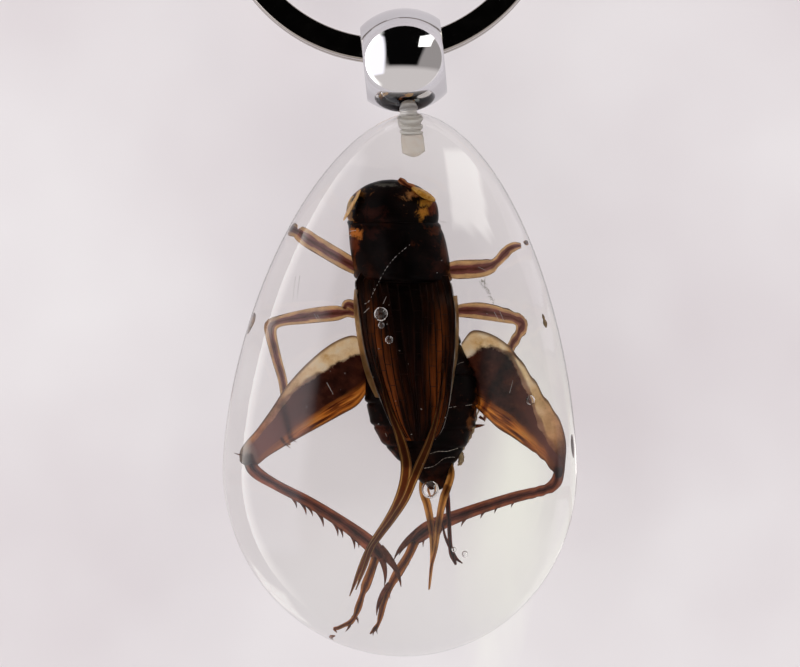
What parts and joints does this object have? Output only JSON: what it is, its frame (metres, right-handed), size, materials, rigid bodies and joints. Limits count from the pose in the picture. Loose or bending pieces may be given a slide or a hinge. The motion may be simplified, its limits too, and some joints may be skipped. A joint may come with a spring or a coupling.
{
  "type": "insect in resin keychain",
  "caption": "Dried cricket sealed in a clear resin drop with a flat back and domed front, glued to a pin, a chrome bead and a flat split ring.",
  "frame": {"origin": "on the flat back, at the middle of the drop's widest place", "axes": "+Y along the drop towards the bead and the ring, +Z out of the domed front, +X to the right of the drop seen from the front"},
  "size_m": [0.035, 0.0862, 0.0135],
  "materials": {
    "resin": "clear cast resin, polished, seen through by transmission",
    "chrome": "polished chrome plate",
    "pin": "dull zinc plated thread",
    "glue": "milky cured glue",
    "ring": "polished nickel plated flat wire",
    "chitin": "dark brown dry shell",
    "wing": "brown veined leathery wing",
    "leg": "translucent brown shell",
    "amber_chitin": "golden brown shell"
  },
  "bodies": {
    "drop": {"resin_front": "resin", "resin_back": "resin", "bead": "chrome", "screw_pin": "pin", "glue_plug": "glue", "cricket_body": "chitin", "forewing_left": "wing", "forewing_right": "wing", "hind_wing_left": "wing", "hind_wing_right": "wing", "foreleg_left": "leg", "foreleg_right": "leg", "midleg_left": "leg", "midleg_right": "leg", "hind_leg_left": "leg", "hind_leg_right": "leg", "cercus_left": "amber_chitin", "cercus_right": "amber_chitin", "ovipositor": "leg"},
    "ring": {"split_ring": "ring"}
  },
  "joints": [
    {"name": "ring_swing", "type": "hinge", "parent": "drop", "child": "ring", "pos_m": [-0.00094, 0.03792, 0.0056], "axis": [0.9914, 0.1305, 0], "range_deg": [0, 160]}
  ]
}
